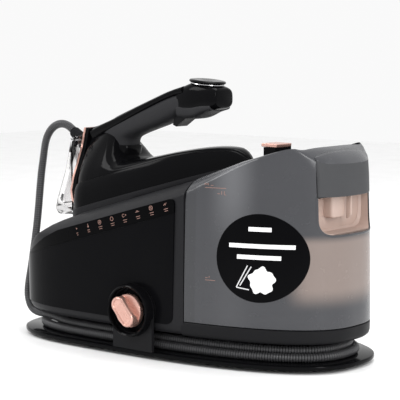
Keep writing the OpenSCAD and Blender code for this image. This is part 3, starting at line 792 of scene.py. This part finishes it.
def fill_flap():
    """Flap over the fill opening: matte front face that turns over the end's top edge."""
    half, low = END_HALF - 0.5, FLAP_Z + 0.5
    cols = 34
    rows = [("wall", z) for z in (low, low + 0.5, low + 1.5, 195, 202, 208)]
    ys = [-half + 2 * half * k / cols for k in range(cols + 1)]
    def outer(y, kind, value):
        if kind == "wall":
            drop = 0.5 if value == low else 0.12 if value == low + 0.5 else 0
            return (surface_x(y, value) - drop + 0.25, y, value)
        x = surface_x(y, 208) - 1.2
        x += (FLAP_BACK - 0.6 - x) * value
        return (x, y, tank_top(x, y) + 0.3)
    tops = [("top", v) for v in (0, 0.1, 0.25, 0.5, 0.75, 1)]
    lines = []
    for kind, value in rows + tops:
        lines.append([outer(y, kind, value) for y in ys])
    verts, faces = [], []
    n = len(ys)
    for line in lines:
        verts += line
    for i in range(len(lines) - 1):
        for k in range(n - 1):
            faces.append((i * n + k, i * n + k + 1, (i + 1) * n + k + 1, (i + 1) * n + k))
    obj = new_piece("fill_flap", verts, faces)
    mod = obj.modifiers.new("thickness", "SOLIDIFY")
    mod.thickness, mod.offset = 2.6 * MM, -1
    if obj.data.polygons[len(obj.data.polygons) // 3].normal.x < 0:
        obj.data.flip_normals()
    dress(obj, "tank_flap", "grey_matte", GREY, "tank_flap")
    obj.data.materials.append(SMOKE)
    for poly in obj.data.polygons:
        if poly.center.z > 0.2185:
            poly.material_index = 1
    rod = lathe("flap_rod", [(0.01, -40), (1.1, -40), (1.1, 40), (0.01, 40)], (197.5, 0, 224.5),
                FACE_FRONT, 24)
    dress(rod, "tank", "steel", STEEL, "flap_pin")


def tank_marks():
    """Level lines with short strokes beside them, two of which are shaped like M and L, and the round
    sticker with bars and a plain symbol."""
    def lifted(proud):
        return lambda x, z: wall_point(x, z, proud=proud, tank=True)

    strokes = [[(86, 196), (111, 196)], [(86, 198.5), (86, 201), (88, 199), (90, 201), (90, 198.5)],
               [(93, 198.5), (96, 198.5)], [(101, 190), (104, 190)], [(106, 189), (106, 193)],
               [(109, 193), (109, 189), (111, 189)], [(88, 96), (100, 96)], [(88, 98.5), (91, 98.5)],
               [(93, 98.3), (93, 100.5)]]
    dress(stroke_piece("level_marks", strokes, lifted(0.05), 0.5, 0.1), "tank", "rose_gold", ROSE_INK)
    cx, cz, r = 149, 123, 47.5
    def disc(name, outline, proud, look):
        verts, faces = [], []
        rings = 9
        n = len(outline)
        ox = sum(p[0] for p in outline) / n
        oz = sum(p[1] for p in outline) / n
        for j in range(rings + 1):
            f = j / rings
            for px, pz in outline:
                x, z = ox + (px - ox) * f, oz + (pz - oz) * f
                verts.append(tuple(wall_point(x, z, proud=proud, tank=True)[0]))
        for j in range(rings):
            for k in range(n):
                faces.append((j * n + k, j * n + (k + 1) % n, (j + 1) * n + (k + 1) % n, (j + 1) * n + k))
        dress(new_piece(name, verts, faces), "tank", "gloss_black", look)

    turns = [2 * math.pi * k / 72 for k in range(72)]
    outline = [(cx + r * math.cos(turn), cz + r * math.sin(turn)) for turn in turns]
    disc("tank_sticker", outline, 0.2, STICKER)
    puff = []
    for k in range(60):
        a = 2 * math.pi * k / 60
        rr = 14 + 1.3 * math.sin(5 * a) + 0.9 * math.sin(9 * a + 1)
        puff.append((cx + 3 + rr * math.cos(a) * 0.95, cz - 24 + rr * math.sin(a)))
    disc("sticker_puff", puff, 0.35, WHITE_INK)
    bars = [[(cx - 12, cz + 31), (cx + 12, cz + 31)], [(cx - 33, cz + 13), (cx + 35, cz + 13)],
            [(cx - 24, cz + 1), (cx + 22, cz + 1)]]
    dress(stroke_piece("sticker_bars", bars, lifted(0.25), 4.6), "tank", "gloss_black", WHITE_INK)
    iron = [[(cx - 12, cz - 8), (cx - 24, cz - 32), (cx - 10, cz - 34)],
            [(cx - 8, cz - 9), (cx - 20, cz - 30)]]
    dress(stroke_piece("sticker_iron", iron, lifted(0.5), 1.2), "tank", "gloss_black", SILVER)


# ---- knob ------------------------------------------------------------------
def knob():
    """Collar and well round the descaling knob, its disc, its grip bar and the small dots on the bar."""
    profile = [(25.6, -6), (25.6, 5), (26.4, 8.6), (27.6, 9.6), (28.8, 8.8), (29.6, 6), (29.9, 0), (29.9, -2),
               (29, -3), (29, -6)]
    collar = lathe("knob_ring", profile, KNOB + Vector((0, 1, 0)), FACE_FRONT, 96)
    dress(collar, "base", "gloss_black", GLOSS, "knob_collar")
    # the well gets the darker black as painted shade in the recess
    cup = lathe("knob_well", [(0.01, -12), (25.4, -12), (25.55, 4), (25.0, 4), (24.6, -10), (0.01, -10)],
                KNOB + Vector((0, 1, 0)), FACE_FRONT, 96)
    dress(cup, "base", "satin_black", PAINTED_SHADE_BLACK)
    disc_profile = [(0.01, 0), (18, 0), (18.8, 0.8), (19, 2), (19, 5), (18.3, 6), (17, 6.3), (0.01, 6.3)]
    disc = lathe("knob_disc", disc_profile, KNOB, FACE_FRONT, 96)
    dress(disc, "knob_cap", "rose_gold", ROSE, "knob_cap")

    def stadium(r, level, steps=16):
        run = 9.5
        pts = []
        for side in (1, -1):
            for k in range(steps + 1):
                a = math.radians(-90 + 180 * k / steps) if side > 0 else math.radians(90 + 180 * k / steps)
                pts.append((side * run + r * math.cos(a), r * math.sin(a), level))
        return pts
    rings = [stadium(9.2, 4), stadium(9.4, 14.2), stadium(9.0, 15.8), stadium(8.2, 16.7), stadium(7.0, 16.9),
             stadium(6.3, 16.5), stadium(6.0, 15.6)]
    bar = loft("knob_grip", rings, sharp=50)
    turn = FACE_FRONT @ Matrix.Rotation(math.radians(-49), 4, "Z")
    bar.data.transform(Matrix.Translation(KNOB * MM) @ turn)
    dress(bar, "knob_cap", "rose_gold", ROSE)
    dots = []
    for i in range(-4, 5):
        for j in (-1, 0, 1):
            u, v = i * 2.3 + (1.15 if j % 2 else 0), j * 2.6
            dots.append([(0.62 * math.cos(a) + u, 0.62 * math.sin(a) + v, h)
                         for h in (15.4, 15.95) for a in [2 * math.pi * k / 8 for k in range(8)]])
    verts, faces = [], []
    for dot in dots:
        base = len(verts)
        verts += dot
        faces += [tuple(base + 8 + k for k in range(8))]
        faces += [(base + k, base + (k + 1) % 8, base + 8 + (k + 1) % 8, base + 8 + k) for k in range(8)]
    obj = new_piece("knob_dots", verts, faces)
    obj.data.transform(Matrix.Translation(KNOB * MM) @ turn)
    dress(obj, "knob_cap", "rose_gold", ROSE)


# ---- hand iron -------------------------------------------------------------
IRON_TOP = [(-166, 246), (-150, 250), (-128, 258), (-122, 257), (-114, 246), (-106, 225), (-98, 214.5),
            (-88, 212), (-60, 216.5), (-14, 226), (12, 230.5), (36, 233), (56, 232.5), (66, 229.5),
            (74, 223), (80, 215)]


def iron_section(x, count=14):
    """Half cross-section at x, from the joint with the skirt up to the spine, as (y, z)."""
    u = (x - SOLE_REAR) / SOLE_LEN
    w = max(1.2, sole_half(min(u, 0.995)) - 1.2)
    foot = deck_at(x) + 8
    top = along(IRON_TOP, x)
    step_z = min(foot + 30 * (1 - max(0, (x + 20) / 105) ** 1.6 * 0.62), top - 3)
    step_w = max(0.9, w - 3.0 - 0.10 * (step_z - foot))
    pts = [(w, foot), (w - 0.4, foot + (step_z - foot) * 0.35), (w - 1.4, foot + (step_z - foot) * 0.75),
           (step_w + 1.4, step_z - 0.4), (step_w + 0.3, step_z + 0.25),
           (max(0.6, step_w - 1.4), step_z + 0.3)]
    y0, z0 = max(0.6, step_w - 1.8), step_z + 0.8
    fin = max(0, min(1, (-104 - x) / 16))
    for k in range(1, count + 1):
        a = math.pi / 2 * k / count
        ny = y0 * math.cos(a) ** (0.85 + 0.9 * fin)
        nz = z0 + (top - z0) * math.sin(a) ** (0.95 + 0.35 * fin)
        if fin:
            ny = ny * (1 - fin) + fin * max(ny, 17.5 * math.cos(a) ** 0.3 if a < 1.57 else 0)
        pts.append((ny if k < count else 0, nz))
    return pts


def iron_body():
    """Hull of the iron, lofted through its cross-sections from the rear to the nose."""
    xs = [-161, -158, -150, -140, -132, -126, -121, -116, -111, -106, -101, -96, -90, -80, -68, -54, -40,
          -26, -12, 2, 16, 28, 40, 50, 58, 64, 69, 73, 76, 79]
    rings = []
    for x in xs:
        half = iron_section(x)
        ring = [(x, -y, z) for y, z in half] + [(x, y, z) for y, z in reversed(half[:-1])]
        rings.append(ring)
    obj = loft("iron_hull", rings, sharp=32)
    dress(obj, "iron", "gloss_black", GLOSS, "iron_shell")


def iron_skirt():
    """Lower band of the iron round the soleplate."""
    def ring(grow, height):
        return [(x, y, deck_at(x) + height) for x, y in sole_outline(grow)]
    rows = [(-3.5, -1.2), (-0.8, -1), (0, 0), (0, 6.5), (-0.5, 8), (-2.5, 8.6)]
    obj = loft("iron_band", [ring(g, h) for g, h in rows])
    dress(obj, "iron", "gloss_black", FRAME, "iron_skirt")


def tube(name, stations, power=2.6, count=40, sharp=40):
    """Rounded section through stations of (upper x, z), (lower x, z) and half width."""
    rings = []
    for (ux, uz), (lx, lz), half in stations:
        mid, up = Vector(((ux + lx) / 2, (uz + lz) / 2)), Vector(((ux - lx) / 2, (uz - lz) / 2))
        ring = []
        for k in range(count):
            a = 2 * math.pi * k / count
            c, s = math.cos(a), math.sin(a)
            v = math.copysign(abs(s) ** (2 / power), s)
            y = half * math.copysign(abs(c) ** (2 / power), c)
            ring.append((mid.x + up.x * v, y, mid.y + up.y * v))
        rings.append(ring)
    return loft(name, rings, sharp=sharp)


def smooth_stations(stations, parts=5):
    """Stations joined by a smooth curve through them."""
    flat = [(u[0], u[1], l[0], l[1], w) for u, l, w in stations]
    out = []
    for i in range(len(flat) - 1):
        p0, p1, p2, p3 = (flat[max(0, i - 1)], flat[i], flat[i + 1], flat[min(len(flat) - 1, i + 2)])
        for k in range(parts):
            t = k / parts
            v = [0.5 * (2 * b + (c - a) * t + (2 * a - 5 * b + 4 * c - d) * t * t
                        + (3 * b - a - 3 * c + d) * t ** 3) for a, b, c, d in zip(p0, p1, p2, p3)]
            out.append(((v[0], v[1]), (v[2], v[3]), v[4]))
    out.append(stations[-1])
    return out


def handle():
    """Soft arm that rises out of the rear column, with its collar, top stripe and matte pad."""
    arm = [((-140, 214), (-101, 214), 17.5), ((-141, 226), (-99, 226), 18), ((-143, 239), (-97, 235.5), 18.6),
           ((-136, 249.5), (-88, 240.5), 19), ((-116, 258.5), (-68, 247.5), 19),
           ((-92, 268.5), (-48, 254), 19), ((-62, 280), (-30, 261.5), 19), ((-34, 290.5), (-16, 268), 19),
           ((-10, 296), (0, 270), 19)]
    obj = tube("handle_arm", smooth_stations(arm), 2.9)
    dress(obj, "iron", "grey_matte", GRIP, "handle_shell", "soft_grip")
    collar = [((-142.5, 209), (-99.5, 209), 19.4), ((-142.5, 212), (-98.5, 212), 19.6),
              ((-142.3, 222), (-97.6, 222), 19.8), ((-142.2, 228.6), (-96.8, 226.6), 19.7),
              ((-141.8, 229.8), (-97.4, 227.8), 19.1)]
    dress(tube("column_collar", collar, 3.2), "iron", "gloss_black", GLOSS)
    stripe = [((-158, 245.5), (-150, 232), 18.4), ((-140, 252.6), (-134, 240), 19.4),
              ((-122, 259.3), (-115, 248), 19.6), ((-90, 272.3), (-84, 262.5), 19.6),
              ((-59, 284.3), (-54, 276), 19.6), ((-30, 295.3), (-25, 287), 19.8),
              ((-12, 300.5), (-8, 290), 20.2)]
    dress(tube("handle_stripe", smooth_stations(stripe), 3.4), "iron", "gloss_black", GLOSS)
    pad = [((-124, 258.9), (-122, 254), 10), ((-118, 262), (-114, 254), 15), ((-90, 273.2), (-86, 264), 16.3),
           ((-59, 285.2), (-55, 277), 16.3), ((-36, 294), (-32, 286), 16), ((-28, 296), (-26, 290), 12)]
    dress(tube("handle_top_pad", smooth_stations(pad), 3.6), "iron", "grey_matte", GREY, "handle_pad")


def tip():
    """Head at the handle's end, with the round steam button and its silver ring."""
    head = [((-20, 298), (-16, 266), 18.6), ((-10, 302), (-6, 263.5), 20), ((2, 305.2), (6, 264.5), 20.8),
            ((16, 303.8), (18, 270), 20.6), ((28, 301.2), (30, 273.2), 19.4), ((35.2, 298.6), (36, 276), 17),
            ((37.4, 296), (37, 279), 14.5)]
    obj = tube("tip_head", smooth_stations(head), 3.4)
    dress(obj, "iron", "gloss_black", GLOSS, "tip_block")
    lower = [((-20, 282), (-18, 262.5), 18.9), ((-6, 282), (-4, 262.2), 20.2), ((6, 281), (8, 264), 20.9),
             ((18, 281), (20, 269.6), 20.7), ((30, 281), (31, 272.9), 19)]
    dress(tube("tip_chin", smooth_stations(lower), 3.2), "iron", "grey_matte", GRIP)
    tilt = Matrix.Rotation(math.radians(6), 4, "Y")
    place = Vector((12, 0, 298))
    ring = lathe("button_ring", [(19.2, 4.4), (19.7, 5.0), (19.4, 5.7), (17.5, 5.7), (17.5, 4.4)],
                 place, tilt, 72)
    dress(ring, "iron", "steel", SILVER)
    cap = [(0.01, 1), (14.9, 1), (14.9, 6), (20.4, 6.2), (21.2, 7), (21.2, 8.2), (20.2, 9.1), (17, 9.6),
           (8, 8.8), (0.01, 8.4)]
    button = lathe("steam_button", cap, place, tilt, 96)
    dress(button, "shot_button", "gloss_black", GLOSS, "shot_button")


def heel():
    """Clear heel stand behind the rose rim."""
    out_line = round_poly([(-168, 141), (-198, 139.5), (-204, 147), (-200, 160), (-186, 195), (-176, 234),
                           (-169, 238)], [2, 8, 6, 10, 30, 5, 2])
    in_line = round_poly([(-169, 150), (-190, 149), (-194, 156), (-181, 192), (-173, 226), (-168, 228)],
                         [2, 6, 6, 30, 3, 2])
    body = plate("heel_stand_clear", out_line, -33, 33, 5)
    hollow = plate("heel_hollow", in_line, -26.5, 26.5, 4)
    cut(body, hollow)
    dress(body, "iron", "heel_clear", CLEAR, "heel_stand")


def rim():
    """Slanted rose rim that closes the iron's rear."""
    widths = [(153, 30), (160, 37), (172, 38.5), (188, 34), (206, 26.5), (224, 20.5), (238, 18.5), (246, 17)]

    def ring(x_low, grow):
        pts = []
        for z, half in widths:
            f = (z - 153) / (246 - 153)
            x = x_low + 7.5 * math.sin(f * math.pi) * -0.35 + f * 3
            pts.append((x, half + grow, z + (grow if z > 240 else -grow if z < 155 else 0)))
        left = [(x, -y, z) for x, y, z in pts]
        return pts + list(reversed(left))
    collar = [ring(-160.5, -1.5), ring(-160.5, 0.6), ring(-165.6, 0.7), ring(-165.8, -1.2)]
    dress(loft("rear_collar", collar, sharp=50), "iron", "gloss_black", GLOSS)
    rings = [ring(-165.4, -1.2), ring(-165.4, 1.2), ring(-168.2, 1.2), ring(-168.4, 0.9), ring(-168.4, -1.2)]
    obj = loft("rear_rose_rim", rings, sharp=50)
    dress(obj, "iron", "rose_gold", ROSE, "rear_rim")
    back = [ring(-167.6, -1.2), ring(-169.2, -1.6), ring(-169.8, -3)]
    dress(loft("rear_face", back, sharp=50), "iron", "gloss_black", GLOSS)


def relief():
    """Collar and bellows where the hose leaves the handle."""
    lean = Matrix.Rotation(math.radians(-52), 4, "Y")
    profile = [(0.01, -4), (9.6, -4), (10.2, 0), (10.2, 10), (9.6, 12), (8.2, 12.6), (8.2, 15)]
    for k in range(5):
        z = 15 + 3 * k
        r = 8.2 - 0.35 * k
        profile += [(r, z), (r, z + 1.7), (r - 1.1, z + 2.0), (r - 1.1, z + 2.8)]
    profile += [(6.2, 30), (0.01, 30)]
    obj = lathe("hose_bend_relief", profile, (-176, 0, 222), lean, 48)
    dress(obj, "iron", "rubber_black", RUBBER, "hose_relief")


def lock():
    """Rose cap on the lock, with its small lip."""
    outline = round_poly([(LOCK_X - 12, LOCK_TOP - 3.6), (LOCK_X + 9, LOCK_TOP - 4.2),
                          (LOCK_X + 9.5, LOCK_TOP - 0.3), (LOCK_X - 12, LOCK_TOP + 0.1)], [1, 1, 1, 1])
    dress(plate("lock_rose_cap", outline, -14, 14, 0.6), "lock", "rose_gold", ROSE, "lock_cap")


# ---- steam hose ------------------------------------------------------------
HOSE_FREE = [
    (-200.6, 0, 241.5), (-211, 1, 247), (-222.5, 2, 248.7), (-234, 3, 246.2), (-243.9, 3.8, 240),
    (-251, 4, 230.7), (-254.5, 3.5, 219.5), (-255, 1, 205), (-252.5, -5, 188), (-247.5, -13, 169),
    (-241, -22.5, 147), (-233.5, -34, 122), (-226.5, -46, 98), (-221.5, -56, 76), (-219.8, -62, 59),
    (-218.8, -65, 47), (-215.5, -67.2, 37), (-209.5, -69.3, 29.5), (-201.5, -71.3, 25.4), (-192, -73.4, 24.2),
    (-180, -75.8, 24.4), (-166, -78.2, 24.2), (-150, -80.5, 22.8), (-135, -83, 21.4)]
UPPER_IN, UPPER_Z, LOWER_IN, LOWER_Z = 28, 21.2, 21, 14.1


def ease(value, start, end):
    """Smooth step from 0 at start to 1 at end."""
    t = max(0, min(1, (value - start) / (end - start)))
    return t * t * (3 - 2 * t)


def hose_turns():
    """The turns in the groove: the upper strand first, then the lower one, into the port at the rear."""
    pts = []
    for deg in range(256, 812, 4):
        sink = ease(deg, 490, 575)
        hump = ease(deg, 415, 440) * (1 - ease(deg, 475, 500))
        enter = ease(deg, 776, 808)
        inset = UPPER_IN + (LOWER_IN - UPPER_IN) * sink + 16 * enter
        z = UPPER_Z + (LOWER_Z - UPPER_Z) * sink + 3.3 * hump
        x, y = oval_point(math.radians(deg), inset)
        pts.append((x, y, z))
    return pts


def spline(points, step):
    """Smooth curve through points, resampled at an even step."""
    fine = []
    for i in range(len(points) - 1):
        p0, p1 = Vector(points[max(0, i - 1)]), Vector(points[i])
        p2, p3 = Vector(points[i + 1]), Vector(points[min(len(points) - 1, i + 2)])
        for k in range(12):
            t = k / 12
            fine.append(tuple(0.5 * (2 * p1 + (p2 - p0) * t + (2 * p0 - 5 * p1 + 4 * p2 - p3) * t * t
                                     + (3 * p1 - p0 - 3 * p2 + p3) * t ** 3)))
    fine.append(tuple(points[-1]))
    length = sum(math.dist(a, b) for a, b in zip(fine, fine[1:]))
    return even(fine, int(length / step) + 1), length


def hose():
    """Ribbed steam hose, one tube from the handle to the port behind the drum's wall."""
    rib = 3.0
    centres, length = spline(HOSE_FREE + hose_turns(), rib / 4)
    profile = [5.0, 5.0, 4.3, 4.3]
    around = 14
    rings = []
    side = Vector((0, 1, 0))
    for i, p in enumerate(centres):
        a, b = centres[max(0, i - 1)], centres[min(len(centres) - 1, i + 1)]
        way = (Vector(b) - Vector(a)).normalized()
        side = (side - way * side.dot(way)).normalized()
        up = way.cross(side)
        r = profile[i % 4]
        turns = [2 * math.pi * k / around for k in range(around)]
        rings.append([tuple(Vector(p) + r * (math.cos(t) * side + math.sin(t) * up)) for t in turns])
    obj = loft("steam_hose", rings, sharp=80)
    obj.data.materials.append(HOSE)
    obj.data.materials.append(RUBBER)
    for poly in obj.data.polygons:
        poly.material_index = 1 if (poly.index // around) % 4 == 2 and len(poly.vertices) == 4 else 0
    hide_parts("hose_lead", "hose_winding")
    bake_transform(obj)


# ---- stage, lights, camera -------------------------------------------------
def stage():
    """Pale floor, even surroundings and three soft lights."""
    floor = new_piece("floor", [(-3000, -3000, 0), (3000, -3000, 0), (3000, 3000, 0), (-3000, 3000, 0)],
                      [(0, 1, 2, 3)])
    floor.data.materials.append(surface("floor_pale", (0.93, 0.93, 0.93), 0.6, bump=0.0))
    world = bpy.data.worlds.new("studio")
    bpy.context.scene.world = world
    world.use_nodes = True
    world.node_tree.nodes["Background"].inputs["Color"].default_value = (1, 1, 1, 1)
    world.node_tree.nodes["Background"].inputs["Strength"].default_value = 0.95

    def softbox(name, place, target, size, power):
        light = bpy.data.lights.new(name, "AREA")
        light.shape, light.size, light.size_y, light.energy = "RECTANGLE", size[0], size[1], power
        obj = bpy.data.objects.new(name, light)
        obj.location = place
        obj.rotation_euler = (Vector(target) - Vector(place)).to_track_quat("-Z", "Y").to_euler()
        bpy.context.scene.collection.objects.link(obj)

    softbox("key_left", (-0.9, -0.9, 1.3), (0, 0, 0.12), (0.5, 0.9), 12)
    softbox("rim_right", (1.3, -0.5, 0.8), (0.1, 0, 0.12), (0.3, 0.9), 10)
    softbox("top", (0.1, 0.4, 1.6), (0, 0, 0.1), (1.0, 0.6), 10)


def camera():
    """Long lens that looks at the side with the knob and at the tank's end, from a little above."""
    azimuth, elevation, distance = math.radians(39.0), math.radians(7.9), 1.7
    target = Vector((0, 0, 0.12))
    back = Vector((math.sin(azimuth) * math.cos(elevation), -math.cos(azimuth) * math.cos(elevation),
                   math.sin(elevation)))
    data = bpy.data.cameras.new("camera")
    data.sensor_width, data.lens = 36, 130.95
    data.shift_x, data.shift_y = 0.0025, 0.1025
    data.clip_start = 0.05
    obj = bpy.data.objects.new("camera", data)
    obj.location = target + back * distance
    obj.rotation_euler = (-back).to_track_quat("-Z", "Y").to_euler()
    bpy.context.scene.collection.objects.link(obj)
    bpy.context.scene.camera = obj
    bpy.context.scene.view_settings.view_transform = "Standard"


camera()
stage()
carry_over()
hose()
base_plate()
drum()
skirt()
body_housing()
glossy_panels()
strip_marks()
deck_plate()
tank()
finger_pocket()
pocket_lip()
fill_flap()
tank_marks()
knob()
iron_skirt()
iron_body()
handle()
tip()
heel()
rim()
relief()
lock()
